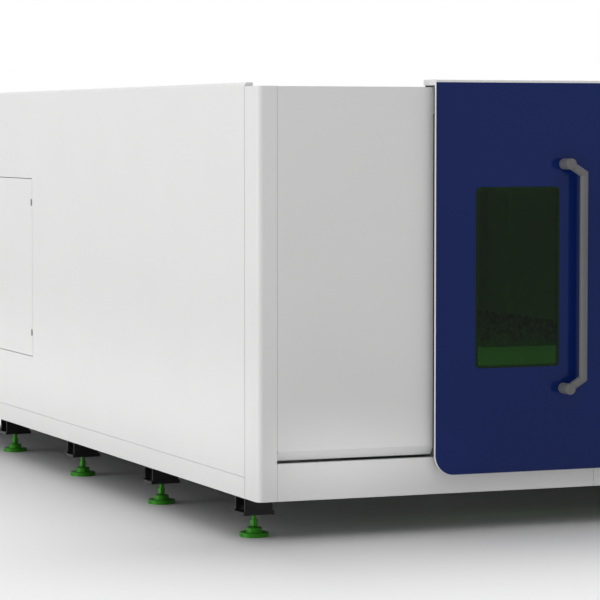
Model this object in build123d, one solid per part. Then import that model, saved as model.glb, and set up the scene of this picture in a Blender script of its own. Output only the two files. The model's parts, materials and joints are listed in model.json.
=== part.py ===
from build123d import *
import os

# Fiber laser cutting machine in a closed housing. Millimetres, +Z up.
# The front with its two sliding doors faces -Y and the long sides run along Y.
# The origin is on the floor under the middle of the whole outline.

# Housing skins, folded from sheet
BODY_W = 3332
BODY_L = 5540
BODY_H = 1826
GROUND_H = 184
SHEET_T = 3
SKIN_D = 30
SEAM_W = 4
COLUMN_FRONT = 91
COLUMN_SIDE = 157
COLUMN_R = 26
SKIRT_H = 93
KICK_H = 166
KICK_JOINT = 12
GUIDE_SLOT = 12
PANEL_FOLD = 42
PANEL_STEP = 20
PANEL_LAP = 11
FRONT_DROP = 2
DOORWAY_W = 1514
TRACK_LIP = 9
TRACK_W = 13
TRACK_D = 16
SIDE_BAYS = 5
ROOF_BAYS = 4
ROOF_SETBACK = 76
ROOF_RAIL_W = 40
ROOF_RAIL_H = 17
ROOF_RAIL_CHAMFER = 11

# Welded frame
TUBE_W = 60
TUBE_WALL = 4
RAIL_W = 100
RAIL_H = 90
RAIL_WALL = 6
CROSS_W = 80
HEADER_H = 80
POST_STATIONS = (1500, 2770, 4600)
SOURCE_STATION = 4890

# Feet
FOOT_FIRST = 256
FOOT_PITCH = 1257
FOOT_INSET = 81
FOOT_H = 102
STUB_L = 133
STUB_W = 120
STUB_WALL = 8
STUB_FLOOR = 13
PLATE_X = 147
PLATE_Y = 126
PLATE_T = 18
PAD_D = 132
PAD_H = 20
PAD_BEVEL = 3
DISC_D = 70
DISC_H = 22
STUD_D = 22
STUD_HOLE = 23
HEX_AF = 30
HEX_H = 24
NECK_D = 20
NECK_H = 9
NUT_AF = 36
NUT_H = 15

# Door leaves
LEAF_OUT = 833
MEETING_GAP = 3
LEAF_T = 18
LEAF_GAP = 34
LEAF_LOW = 89
LEAF_RISE = 20
LEAF_R = 90
LEAF_RIB = 30
FACING_T = 2
HOOD_DEPTH = 140
HOOD_RISE = 12
HOOD_DROP = 14
HOOD_R = 6
WINDOW_W = 418
WINDOW_H = 814
WINDOW_IN = 219
WINDOW_SILL = 564
WINDOW_R = 22
PANE_T = 5
PANE_GAP = 0.5
CLAMP_LAP = 10
CLAMP_T = 5

# Door handle
POST_D = 50
POST_L = 80
POST_CHAMFER = 4
POST_IN = 197
BAR_D = 38
BAR_IN = 124
BAR_OUT = 55
HANDLE_LOW = 462
HANDLE_SPAN = 1018
HANDLE_RISE = 45

# Door rail, carriages and lower guides
DOOR_RAIL_W = 15
DOOR_RAIL_H = 15
DOOR_RAIL_BACK = 47
CARRIAGE_L = 60
CARRIAGE_W = 30
CARRIAGE_H = 24
RISER_W = 22
RUN_GAP = 0.3
RUNNER_IN = 76
GUIDE_L = 60
GUIDE_T = 6
TONGUE_T = 8
TONGUE_D = 14

# Service hatch in the left side
HATCH_FROM_FRONT = 3403
HATCH_W = 1050
HATCH_SILL = 399
HATCH_H = 972
HATCH_GAP = 3.5
HATCH_T = 20
HATCH_RIM = 30
HATCH_BORDER = 60
HINGE_IN = 131
HINGE_BACK = 15
HINGE_DEEP = 8
KNUCKLE_D = 16
KNUCKLE_H = 24
HINGE_PIN_D = 8
HINGE_PIN_L = 70
HINGE_FIT = 0.05
NOTCH_H = 36
NOTCH_W = 30
CUP_W = 60
CUP_H = 110
CUP_D = 16
CUP_FLOOR = 2
CUP_IN = 40

# Exhaust spigot on the rear
SPIGOT_R = 150
SPIGOT_WALL = 3
SPIGOT_OUT = 100
SPIGOT_UP = 470
SPIGOT_FLANGE = 25

# Bed and slat table
BED_FROM_FRONT = 420
BED_L = 4280
BED_H = 470
BEAM_W = 200
BEAM_IN = 890
BEAM_WALL = 12
BED_PLATE_T = 6
BED_PLATE_RISE = 60
TABLE_FROM_FRONT = 880
SLAT_COUNT = 30
SLAT_PITCH = 100
SLAT_L = 1570
SLAT_T = 4
SLAT_H = 100
TOOTH_PITCH = 75
TOOTH_H = 30
LEDGE_W = 50
LEDGE_T = 6
LEDGE_IN = 760
COMB_H = 60
COMB_GAP = 1
BRACKET_COUNT = 4
BRACKET_W = 120
BRACKET_H = 50
TABLE_SINK = 20
TROUGH_FLOOR = 300
TROUGH_H = 330

# Gantry along Y
GANTRY_PARK = 4170
Y_RAIL_W = 34
Y_RAIL_H = 30
Y_RAIL_OFF = 50
MAGNET_W = 80
MAGNET_T = 12
MAGNET_OFF = 45
AIR_GAP = 0.8
BLOCK_L = 110
BLOCK_W = 90
BLOCK_H = 54
BLOCK_LIFT = 6
BLOCK_SPREAD = 300
COIL_L = 280
SADDLE_L = 420
SADDLE_T = 40
GANTRY_W = 240
GANTRY_H = 260
GANTRY_WALL = 10

# Head carriage along X and cutting head along Z
X_RAIL_L = 2000
X_RAIL_W = 25
X_RAIL_H = 20
X_RAIL_SPREAD = 160
X_BLOCK_L = 70
X_BLOCK_W = 60
X_BLOCK_H = 24
X_MAGNET_W = 60
X_MAGNET_T = 10
CARRIAGE_PLATE_W = 260
CARRIAGE_PLATE_T = 20
Z_BOX_W = 120
Z_BOX_D = 60
Z_BOX_H = 440
Z_MOTOR_W = 90
Z_MOTOR_H = 140
Z_RAIL_W = 30
Z_RAIL_T = 14
Z_BLOCK_W = 80
Z_BLOCK_H = 160
Z_BLOCK_T = 24
HEAD_W = 100
HEAD_D = 90
HEAD_H = 250
HEAD_EDGE = 14
HEAD_LIFT = 140
COLLIMATOR_D = 60
COLLIMATOR_H = 110
NOZZLE_TOP_D = 56
NOZZLE_TIP_D = 8
NOZZLE_H = 60

# Laser source at the rear
SOURCE_W = 900
SOURCE_L = 480
SOURCE_H = 760
SOURCE_IN = 370
SOURCE_PLINTH = 50
SOURCE_EDGE = 12

# Places worked out from the sizes
SIDE = BODY_W / 2
DOOR_REACH = LEAF_GAP + LEAF_T + POST_L
FRONT = (DOOR_REACH - BODY_L - SPIGOT_OUT) / 2
REAR = FRONT + BODY_L
MIDDLE = (FRONT + REAR) / 2
TOP = GROUND_H + BODY_H
FRAME_X = SIDE - SKIN_D
FRAME_FRONT = FRONT + SKIN_D
FRAME_REAR = REAR - SKIN_D
FRAME_TOP = TOP - SKIN_D
BASE_TOP = GROUND_H + RAIL_H
SKIRT_TOP = GROUND_H + SKIRT_H
KICK_TOP = GROUND_H + KICK_H
PANEL_TOP = TOP - FRONT_DROP
PANEL_LOW = KICK_TOP + GUIDE_SLOT
FOOT_COUNT = int((BODY_L - 2 * FOOT_FIRST) // FOOT_PITCH) + 1
FOOT_PLACES = [FRONT + FOOT_FIRST + FOOT_PITCH * i for i in range(FOOT_COUNT)]
POST_PLACES = [FRONT + station for station in POST_STATIONS]
LEAF_BACK = FRONT - LEAF_GAP
LEAF_FACE = LEAF_BACK - LEAF_T
LEAF_BOTTOM = GROUND_H + LEAF_LOW
LEAF_TOP = TOP + LEAF_RISE
HOOD_TOP = LEAF_TOP + HOOD_RISE
HOOD_LOW = LEAF_TOP - HOOD_DROP
WINDOW_X = -(WINDOW_IN + WINDOW_W / 2)
WINDOW_Z = GROUND_H + WINDOW_SILL + WINDOW_H / 2
GUIDE_TOP = KICK_TOP + GUIDE_SLOT / 2 + GUIDE_T / 2
TRACK_MID = FRONT + TRACK_LIP + TRACK_W / 2
HATCH_FRONT = FRONT + HATCH_FROM_FRONT
HATCH_LOW = GROUND_H + HATCH_SILL
HINGE_X = -SIDE + HINGE_DEEP
HINGE_Y = HATCH_FRONT + HINGE_BACK
HINGE_PLACES = [HATCH_LOW + HINGE_IN, HATCH_LOW + HATCH_H - HINGE_IN]
BED_FRONT = FRONT + BED_FROM_FRONT
BED_REAR = BED_FRONT + BED_L
BED_TOP = BASE_TOP + BED_H
TABLE_FRONT = FRONT + TABLE_FROM_FRONT
TABLE_REAR = TABLE_FRONT + SLAT_PITCH * SLAT_COUNT
LEDGE_TOP = BED_TOP - TABLE_SINK
SLAT_TOP = LEDGE_TOP + SLAT_H
GANTRY_Y = FRONT + GANTRY_PARK
Y_RAIL_X = BEAM_IN + BEAM_W - Y_RAIL_OFF
MAGNET_X = BEAM_IN + MAGNET_OFF
SADDLE_LOW = BED_TOP + BLOCK_LIFT + BLOCK_H
GANTRY_LOW = SADDLE_LOW + SADDLE_T
GANTRY_END = BEAM_IN + BEAM_W
GANTRY_MID_Z = GANTRY_LOW + GANTRY_H / 2
X_FACE = GANTRY_Y - GANTRY_W / 2
X_BLOCK_FACE = X_FACE - X_RAIL_H - SHEET_T - X_BLOCK_H / 4
PLATE_FACE = X_BLOCK_FACE - CARRIAGE_PLATE_T
Z_FACE = PLATE_FACE - Z_BOX_D
Z_BLOCK_FACE = Z_FACE - Z_BLOCK_T - RUN_GAP
NOZZLE_TIP = SLAT_TOP + HEAD_LIFT
HEAD_LOW = NOZZLE_TIP + NOZZLE_H
HEAD_Y = Z_BLOCK_FACE - HEAD_D / 2


def block(x, y, z):
    """Box between the low and high values along each axis."""
    size = [high - low for low, high in (x, y, z)]
    middle = [(high + low) / 2 for low, high in (x, y, z)]
    return Pos(*middle) * Box(*size)


def around(middle, size):
    """Low and high values of a span given by its middle and its size."""
    return (middle - size / 2, middle + size / 2)


def tube(x, y, z, wall, along):
    """Box section, open at both ends along one axis."""
    spans = {"x": x, "y": y, "z": z}
    bore = {}
    for axis, (low, high) in spans.items():
        bore[axis] = (low, high) if axis == along else (low + wall, high - wall)
    return block(**spans) - block(**bore)


def disc(radius, low, high, at=(0, 0)):
    """Upright cylinder between two heights."""
    return Pos(at[0], at[1], (low + high) / 2) * Cylinder(radius, high - low)


def both(solid):
    """A solid of the left side and its mirror image on the right."""
    return [solid, mirror(solid, about=Plane.YZ)]


def outline(points):
    return make_face(Polyline(*points, close=True))


def along_x(face, x):
    """Outline in (y, z), run along X."""
    return extrude(Plane.YZ.offset(x[0]) * face, x[1] - x[0])


def along_y(face, y):
    """Outline in (x, z), run along Y."""
    return extrude(Plane.XZ.offset(-y[1]) * face, y[1] - y[0])


def along_z(face, z):
    """Outline in (x, y), run along Z."""
    return extrude(Plane.XY.offset(z[0]) * face, z[1] - z[0])


def folded(path, sheet=SHEET_T):
    """Closed outline of a sheet folded along a path, with its thickness on the path's left."""
    points = [Vector(*point) for point in path]
    lefts = []
    for start, end in zip(points, points[1:]):
        run = (end - start).normalized()
        lefts.append(Vector(-run.Y, run.X) * sheet)
    inner = [points[0] + lefts[0]]
    for corner, before, after in zip(points[1:-1], lefts, lefts[1:]):
        mitre = 1 + before.dot(after) / sheet ** 2
        inner.append(corner + (before + after) / mitre)
    inner.append(points[-1] + lefts[-1])
    return outline([(p.X, p.Y) for p in points + inner[::-1]])


def rounded_at(face, places):
    """Rounds the corners of an outline nearest to the given places."""
    for place, radius in places:
        corner = face.vertices().sort_by_distance(Vector(*place))[0]
        face = fillet(corner, radius)
    return face


def bays(span, count, wall):
    """Splits a span into equal open bays with walls between and at both ends."""
    pitch = (span[1] - span[0] - wall) / count
    return [(span[0] + wall + pitch * i, span[0] + pitch * (i + 1)) for i in range(count)]


def save(name, solids):
    """Writes one sub-part as separate solids in one file."""
    pieces = solids if isinstance(solids, list) else [solids]
    export_step(Compound([solid for piece in pieces for solid in piece.solids()]), f"parts/{name}.step")


# Base and feet

def base_rails():
    z = (GROUND_H, BASE_TOP)
    side = tube((-FRAME_X, -FRAME_X + RAIL_W), (FRAME_FRONT, FRAME_REAR), z, RAIL_WALL, "y")
    ends = (-FRAME_X + RAIL_W, FRAME_X - RAIL_W)
    front = tube(ends, (FRAME_FRONT, FRAME_FRONT + RAIL_W), z, RAIL_WALL, "x")
    rear = tube(ends, (FRAME_REAR - RAIL_W, FRAME_REAR), z, RAIL_WALL, "x")
    return both(side) + [front, rear]


def base_cross_members():
    x = (-FRAME_X + RAIL_W, FRAME_X - RAIL_W)
    z = (BASE_TOP - CROSS_W, BASE_TOP)
    places = FOOT_PLACES + [FRONT + SOURCE_STATION]
    return [tube(x, around(place, CROSS_W), z, RAIL_WALL, "x") for place in places]


def at_feet(make):
    """Copies of a foot piece under both side rails."""
    solids = []
    for place in FOOT_PLACES:
        solids += both(Pos(-SIDE + FOOT_INSET, place, 0) * make())
    return solids


def foot_bracket():
    """Tube stub on a thick plate, its bore sunk into the plate."""
    floor = FOOT_H + STUB_FLOOR
    stub = block(around(0, STUB_L), around(0, STUB_W), (floor, GROUND_H))
    plate = block(around(0, PLATE_X), around(0, PLATE_Y), (FOOT_H, FOOT_H + PLATE_T))
    bore_y = around(0, STUB_W - 2 * STUB_WALL)
    bore = block(around(0, PLATE_X), bore_y, (floor, GROUND_H - STUB_WALL))
    return stub + plate - bore - disc(STUD_HOLE / 2, FOOT_H, floor)


def levelling_pad():
    top = PAD_H + DISC_H
    rim = PAD_D / 2
    boss = DISC_D / 2
    half = outline([
        (0, 0), (rim, 0), (rim, PAD_H - PAD_BEVEL), (rim - PAD_BEVEL, PAD_H),
        (boss, PAD_H), (boss, top - PAD_BEVEL), (boss - PAD_BEVEL, top), (0, top),
    ])
    return revolve(Plane.XZ * half, Axis.Z)


def levelling_stud():
    seat = PAD_H + DISC_H
    hex_low = seat + NECK_H
    nut_top = FOOT_H + STUB_FLOOR + NUT_H
    neck = Pos(0, 0, seat + NECK_H / 2) * Cone(NECK_D / 2, HEX_AF / 2, NECK_H)
    collar = along_z(RegularPolygon(HEX_AF / 2, 6, major_radius=False), (hex_low, hex_low + HEX_H))
    return neck + collar + disc(STUD_D / 2, hex_low, nut_top + STUD_D / 2)


def levelling_nut():
    low = FOOT_H + STUB_FLOOR
    nut = along_z(RegularPolygon(NUT_AF / 2, 6, major_radius=False), (low, low + NUT_H))
    return nut - disc(STUD_HOLE / 2, low, low + NUT_H)


# Welded frame

def enclosure_posts():
    side_x = (-FRAME_X, -FRAME_X + TUBE_W)
    side_z = (BASE_TOP, FRAME_TOP - TUBE_W)
    middles = [FRAME_FRONT + TUBE_W / 2] + POST_PLACES + [FRAME_REAR - TUBE_W / 2]
    posts = []
    for middle in middles:
        posts += both(tube(side_x, around(middle, TUBE_W), side_z, TUBE_WALL, "z"))
    jamb_x = (-DOORWAY_W / 2 - TUBE_W, -DOORWAY_W / 2)
    jamb_z = (BASE_TOP, FRAME_TOP - HEADER_H)
    return posts + both(tube(jamb_x, (FRAME_FRONT, FRAME_FRONT + TUBE_W), jamb_z, TUBE_WALL, "z"))


def top_frame():
    z = (FRAME_TOP - TUBE_W, FRAME_TOP)
    side = tube((-FRAME_X, -FRAME_X + TUBE_W), (FRAME_FRONT, FRAME_REAR), z, TUBE_WALL, "y")
    across = (-FRAME_X + TUBE_W, FRAME_X - TUBE_W)
    middles = POST_PLACES + [FRAME_REAR - TUBE_W / 2]
    return both(side) + [tube(across, around(middle, TUBE_W), z, TUBE_WALL, "x") for middle in middles]


def front_header():
    across = (-FRAME_X + TUBE_W, FRAME_X - TUBE_W)
    depth = (FRAME_FRONT, FRAME_FRONT + TUBE_W)
    return tube(across, depth, (FRAME_TOP - HEADER_H, FRAME_TOP), TUBE_WALL, "x")


def door_rail():
    across = (-FRAME_X + TUBE_W, FRAME_X - TUBE_W)
    depth = around(FRONT + DOOR_RAIL_BACK, DOOR_RAIL_W)
    return block(across, depth, (FRAME_TOP, FRAME_TOP + DOOR_RAIL_H))


# Housing skins

def corner_column(cap_depth):
    """Front left column: one sheet folded round the corner, with a welded cap."""
    side, front = -SIDE, FRONT
    inner, back = side + COLUMN_FRONT, front + COLUMN_SIDE
    path = [(side + SKIN_D, back), (side, back), (side, front), (inner, front), (inner, front + SKIN_D)]
    bend = COLUMN_R - SHEET_T
    inside = (side + SHEET_T, front + SHEET_T)
    wall = rounded_at(folded(path), [((side, front), COLUMN_R), (inside, bend)])
    shelf = front + cap_depth
    cap = outline([
        inside, (inner - SHEET_T, inside[1]), (inner - SHEET_T, shelf),
        (side + SKIN_D, shelf), (side + SKIN_D, back - SHEET_T), (inside[0], back - SHEET_T),
    ])
    cap = rounded_at(cap, [(inside, bend)])
    return along_z(wall, (GROUND_H, TOP)) + along_z(cap, (TOP - SHEET_T, TOP))


def to_rear(solids):
    return [mirror(solid, about=Plane.XZ.offset(-MIDDLE)) for solid in solids]


def front_panel():
    """Tray beside the doorway: lower edge folded back over the guide slot, inner edge stepped back."""
    fold = PANEL_LOW + PANEL_FOLD
    back = FRONT + SKIN_D
    face = outline([(FRONT, PANEL_TOP), (FRONT, fold), (back, PANEL_LOW), (back, PANEL_TOP)])
    slope = PANEL_FOLD / SKIN_D
    wall = SHEET_T * (1 + slope ** 2) ** 0.5
    low = PANEL_LOW + slope * SHEET_T + wall
    inside = outline([
        (FRONT + SHEET_T, PANEL_TOP - SHEET_T), (FRONT + SHEET_T, fold - slope * SHEET_T + wall),
        (back - SHEET_T, low), (back, low), (back, PANEL_TOP - SHEET_T),
    ])
    x = (-SIDE + COLUMN_FRONT + SEAM_W, -LEAF_OUT + PANEL_LAP)
    tray = along_x(face, x) - along_x(inside, (x[0] + SHEET_T, x[1] - SHEET_T))
    step = FRONT + PANEL_STEP
    edge = block((x[1], -DOORWAY_W / 2), (step, back), (fold, PANEL_TOP))
    hollow = block(
        (x[1], -DOORWAY_W / 2 - SHEET_T), (step + SHEET_T, back), (fold + SHEET_T, PANEL_TOP - SHEET_T)
    )
    return tray + (edge - hollow)


def kick_plate(x):
    """Sill plate under the doors, with the lower guide track folded into its top edge."""
    back = FRONT + SKIN_D
    lip = FRONT + TRACK_LIP
    far = lip + TRACK_W
    track = KICK_TOP - TRACK_D
    path = [
        (back, KICK_TOP), (far, KICK_TOP), (far, track), (lip, track), (lip, KICK_TOP),
        (FRONT, KICK_TOP), (FRONT, GROUND_H), (back, GROUND_H),
    ]
    return along_x(folded(path), x)


def kick_plates():
    """Two plates of different length that meet left of the middle."""
    end = SIDE - COLUMN_FRONT - SEAM_W
    joint = around(-KICK_JOINT, SEAM_W)
    return [kick_plate((-end, joint[0])), kick_plate((joint[1], end))]


def side_span():
    return (FRONT + COLUMN_SIDE + SEAM_W, REAR - COLUMN_SIDE - SEAM_W)


def side_panel():
    """Plain long side, a tray stiffened by upright ribs."""
    z = (SKIRT_TOP + SEAM_W, TOP)
    panel = block((SIDE - SKIN_D, SIDE), side_span(), z)
    inside = (z[0] + SHEET_T, z[1] - SHEET_T)
    depth = (SIDE - SKIN_D, SIDE - SHEET_T)
    return panel - [block(depth, bay, inside) for bay in bays(side_span(), SIDE_BAYS, SHEET_T)]


def hatched_side_panel():
    """Long side with the service hatch's opening, ribbed round it."""
    z = (SKIRT_TOP + SEAM_W, TOP)
    y = side_span()
    panel = block((-SIDE, -SIDE + SKIN_D), y, z)
    depth = (-SIDE + SHEET_T, -SIDE + SKIN_D)
    inside = (z[0] + SHEET_T, z[1] - SHEET_T)
    opening_y = (HATCH_FRONT, HATCH_FRONT + HATCH_W)
    opening_z = (HATCH_LOW, HATCH_LOW + HATCH_H)
    rim_y = (opening_y[0] - HATCH_RIM, opening_y[1] + HATCH_RIM)
    pockets = [block(depth, bay, inside) for bay in bays((y[0], rim_y[0] + SHEET_T), SIDE_BAYS - 2, SHEET_T)]
    pockets.append(block(depth, (rim_y[1], y[1] - SHEET_T), inside))
    pockets.append(block(depth, rim_y, (inside[0], opening_z[0] - HATCH_RIM)))
    pockets.append(block(depth, rim_y, (opening_z[1] + HATCH_RIM, inside[1])))
    pockets.append(block((-SIDE, -SIDE + SKIN_D), opening_y, opening_z))
    return panel - pockets


def side_skirt():
    back = -SIDE + SKIN_D
    path = [(back, SKIRT_TOP), (-SIDE, SKIRT_TOP), (-SIDE, GROUND_H), (back, GROUND_H)]
    return along_y(folded(path), side_span())


def rear_span():
    return (-SIDE + COLUMN_FRONT + SEAM_W, SIDE - COLUMN_FRONT - SEAM_W)


def rear_skirt():
    back = REAR - SKIN_D
    path = [(back, GROUND_H), (REAR, GROUND_H), (REAR, SKIRT_TOP), (back, SKIRT_TOP)]
    return along_x(folded(path), rear_span())


def on_spigot(radius, y):
    """Cylinder on the exhaust spigot's axis between two depths."""
    axis = Plane.XZ.offset(-y[1]) * Pos(0, BASE_TOP + SPIGOT_UP)
    return extrude(axis * Circle(radius), y[1] - y[0])


def rear_panel():
    z = (SKIRT_TOP + SEAM_W, TOP)
    panel = block(rear_span(), (REAR - SKIN_D, REAR), z)
    depth = (REAR - SKIN_D, REAR - SHEET_T)
    inside = (z[0] + SHEET_T, z[1] - SHEET_T)
    pockets = [block(bay, depth, inside) for bay in bays(rear_span(), SIDE_BAYS - 2, SHEET_T)]
    collar = on_spigot(SPIGOT_R + SPIGOT_FLANGE, depth)
    return panel - [pocket - collar for pocket in pockets] - on_spigot(SPIGOT_R, (REAR - SKIN_D, REAR))


def exhaust_spigot():
    length = (REAR - SKIN_D, REAR + SPIGOT_OUT)
    flange = on_spigot(SPIGOT_R + SPIGOT_FLANGE, (REAR, REAR + SPIGOT_WALL))
    return on_spigot(SPIGOT_R, length) + flange - on_spigot(SPIGOT_R - SPIGOT_WALL, length)


def roof_panel():
    x = (-FRAME_X + SEAM_W, FRAME_X - SEAM_W)
    y = (FRONT + ROOF_SETBACK, FRAME_REAR - SEAM_W)
    panel = block(x, y, (FRAME_TOP, TOP))
    inside = (x[0] + SHEET_T, x[1] - SHEET_T)
    return panel - [block(inside, bay, (FRAME_TOP, TOP - SHEET_T)) for bay in bays(y, ROOF_BAYS, SHEET_T)]


def roof_rail():
    y = (FRONT + COLUMN_SIDE, REAR - COLUMN_SIDE)
    rail = block((-SIDE, -SIDE + ROOF_RAIL_W), y, (TOP, TOP + ROOF_RAIL_H))
    edge = rail.edges().filter_by(Axis.Y).sort_by_distance(Vector(-SIDE, MIDDLE, TOP + ROOF_RAIL_H))[0]
    return chamfer(edge, ROOF_RAIL_CHAMFER)


# Service hatch

def on_hinge(radius, middle, length):
    return disc(radius, middle - length / 2, middle + length / 2, (HINGE_X, HINGE_Y))


def hatch_leaf():
    """Tray leaf, notched for its two hinges and cut out for the finger cup."""
    y = (HATCH_FRONT + HATCH_GAP, HATCH_FRONT + HATCH_W - HATCH_GAP)
    z = (HATCH_LOW + HATCH_GAP, HATCH_LOW + HATCH_H - HATCH_GAP)
    leaf = block((-SIDE, -SIDE + HATCH_T), y, z)
    hollow_y = (y[0] + HATCH_BORDER, y[1] - HATCH_BORDER - CUP_W)
    hollow_z = (z[0] + HATCH_BORDER, z[1] - HATCH_BORDER)
    cuts = [block((-SIDE + SHEET_T, -SIDE + HATCH_T), hollow_y, hollow_z), cup_block(0, HATCH_T)]
    for middle in HINGE_PLACES:
        cuts.append(block((-SIDE, -SIDE + HATCH_T), (y[0], HATCH_FRONT + NOTCH_W), around(middle, NOTCH_H)))
        cuts.append(on_hinge(HINGE_PIN_D / 2 + HINGE_FIT, middle, HINGE_PIN_L + 2 * HATCH_GAP))
    return leaf - cuts


def cup_block(inset, depth):
    """Block of the finger cup near the leaf's free edge, drawn in by an inset all round."""
    free = HATCH_FRONT + HATCH_W - HATCH_GAP - CUP_IN
    y = (free - CUP_W + inset, free - inset)
    middle = HATCH_LOW + HATCH_H / 2
    return block((-SIDE, -SIDE + depth), y, around(middle, CUP_H - 2 * inset))


def hatch_pull():
    return cup_block(0, CUP_D) - cup_block(CUP_FLOOR, CUP_D - CUP_FLOOR)


def hinge_brackets():
    """Knuckles on arms that stand out of the opening's front edge into the leaf's notches."""
    brackets = []
    for middle in HINGE_PLACES:
        arm = block(around(HINGE_X, KNUCKLE_D / 2), (HATCH_FRONT, HINGE_Y), around(middle, KNUCKLE_H))
        knuckle = on_hinge(KNUCKLE_D / 2, middle, KNUCKLE_H)
        brackets.append(arm + knuckle - on_hinge(HINGE_PIN_D / 2, middle, KNUCKLE_H))
    return brackets


def hinge_pins():
    return [on_hinge(HINGE_PIN_D / 2, middle, HINGE_PIN_L) for middle in HINGE_PLACES]


# Sliding doors, the left one drawn and the right one its mirror image

LEAF_X = (-LEAF_OUT, -MEETING_GAP / 2)


def leaf_slab(y):
    """Leaf outline with its rounded outer lower corner, between two depths."""
    low, high = LEAF_X
    face = outline([(low, LEAF_BOTTOM), (high, LEAF_BOTTOM), (high, LEAF_TOP), (low, LEAF_TOP)])
    return along_y(rounded_at(face, [((low, LEAF_BOTTOM), LEAF_R)]), y)


def window_slab(grow, y):
    """Rounded window outline, grown all round, between two depths."""
    size = (WINDOW_W + 2 * grow, WINDOW_H + 2 * grow)
    face = Pos(WINDOW_X, WINDOW_Z) * RectangleRounded(*size, WINDOW_R + grow)
    return along_y(face, y)


def door_facing():
    y = (LEAF_FACE, LEAF_FACE + FACING_T)
    return leaf_slab(y) - window_slab(PANE_GAP, y)


def door_tray():
    """White leaf tray, hollowed from behind between its ribs and the window's surround."""
    y = (LEAF_FACE + FACING_T, LEAF_BACK)
    hollow = (y[0] + SHEET_T, LEAF_BACK)
    left, right = LEAF_X[0] + SHEET_T, LEAF_X[1] - SHEET_T
    surround = CLAMP_LAP + LEAF_RIB
    window_left = WINDOW_X - WINDOW_W / 2 - surround
    window_right = WINDOW_X + WINDOW_W / 2 + surround
    window_low = WINDOW_Z - WINDOW_H / 2 - surround
    window_high = WINDOW_Z + WINDOW_H / 2 + surround
    guide_rib = around(GUIDE_TOP - GUIDE_T / 2, LEAF_RIB)
    pockets = [
        block((left + LEAF_R, right), hollow, (LEAF_BOTTOM + SHEET_T, guide_rib[0])),
        block((left, right), hollow, (guide_rib[1], window_low)),
        block((left, window_left), hollow, (window_low + LEAF_RIB, window_high - LEAF_RIB)),
        block((window_right, right), hollow, (window_low + LEAF_RIB, window_high - LEAF_RIB)),
        block((left, right), hollow, (window_high, LEAF_TOP - SHEET_T)),
        window_slab(CLAMP_LAP, hollow),
        window_slab(PANE_GAP, y),
    ]
    return leaf_slab(y) - pockets


def door_window():
    return window_slab(0, (LEAF_FACE, LEAF_FACE + PANE_T))


def window_clamp():
    """Frame behind the pane that laps its edge and the leaf's sheet."""
    y = (LEAF_FACE + PANE_T, LEAF_FACE + PANE_T + CLAMP_T)
    return window_slab(CLAMP_LAP - PANE_GAP, y) - window_slab(-CLAMP_LAP, y)


def door_hood():
    """Cap on the leaf's top edge that reaches back over the front panel to the door rail."""
    far = LEAF_FACE + HOOD_DEPTH
    face = outline([
        (LEAF_FACE, LEAF_TOP), (LEAF_FACE, HOOD_TOP), (far, HOOD_TOP),
        (far, HOOD_LOW), (LEAF_BACK, HOOD_LOW), (LEAF_BACK, LEAF_TOP),
    ])
    cap = along_x(rounded_at(face, [((LEAF_FACE, HOOD_TOP), HOOD_R)]), LEAF_X)
    inside = (LEAF_X[0] + SHEET_T, LEAF_X[1] - SHEET_T)
    return cap - block(inside, (LEAF_BACK + SHEET_T, far - SHEET_T), (HOOD_LOW, HOOD_TOP - SHEET_T))


def door_handle():
    """Offset pull: two posts and a bar with mitred, slanted arms."""
    axis = LEAF_FACE - BAR_OUT
    low = GROUND_H + HANDLE_LOW
    high = low + HANDLE_SPAN
    route = Polyline(
        (-POST_IN, axis, low), (-BAR_IN, axis, low + HANDLE_RISE),
        (-BAR_IN, axis, high - HANDLE_RISE), (-POST_IN, axis, high),
    )
    start = Plane(route @ 0, z_dir=route % 0)
    bar = sweep(start * Circle(BAR_D / 2), route, transition=Transition.RIGHT)
    for height in (low, high):
        foot = Plane.XZ.offset(-LEAF_FACE) * Pos(-POST_IN, height) * Circle(POST_D / 2)
        post = extrude(foot, POST_L)
        bar = bar + chamfer(post.faces().sort_by(Axis.Y)[0].edges(), POST_CHAMFER)
    return bar


def runner_places():
    return (LEAF_X[0] + RUNNER_IN, LEAF_X[1] - RUNNER_IN)


def door_runners():
    """Carriages on the door rail with their risers, and guide arms with tongues in the sill track."""
    runners = []
    rail_y = FRONT + DOOR_RAIL_BACK
    low = FRAME_TOP + SHEET_T
    bore = block(LEAF_X, around(rail_y, DOOR_RAIL_W + 2 * RUN_GAP), (low, FRAME_TOP + DOOR_RAIL_H + RUN_GAP))
    tongue_y = around(TRACK_MID, TONGUE_T)
    guide_low = GUIDE_TOP - GUIDE_T
    for place in runner_places():
        carriage = block(around(place, CARRIAGE_L), around(rail_y, CARRIAGE_W), (low, low + CARRIAGE_H))
        riser_z = (low + CARRIAGE_H, HOOD_TOP - SHEET_T)
        riser = block(around(place, CARRIAGE_L), around(rail_y, RISER_W), riser_z)
        runners.append(carriage + riser - bore)
        arm = block(around(place, GUIDE_L), (LEAF_BACK, tongue_y[1]), (guide_low, GUIDE_TOP))
        tongue = block(around(place, GUIDE_L), tongue_y, (KICK_TOP - TONGUE_D + GUIDE_SLOT / 3, guide_low))
        runners.append(arm + tongue)
    return runners


# Bed and slat table

def bed_beams():
    x = (-BEAM_IN - BEAM_W, -BEAM_IN)
    return both(tube(x, (BED_FRONT, BED_REAR), (BASE_TOP, BED_TOP), BEAM_WALL, "y"))


def bed_end_plate(y):
    width = 2 * (BEAM_IN + BEAM_W)
    return block(around(0, width), y, (BASE_TOP, BED_TOP + BED_PLATE_RISE))


def slat_places():
    return [TABLE_FRONT + SLAT_PITCH * (i + 0.5) for i in range(SLAT_COUNT)]


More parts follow.
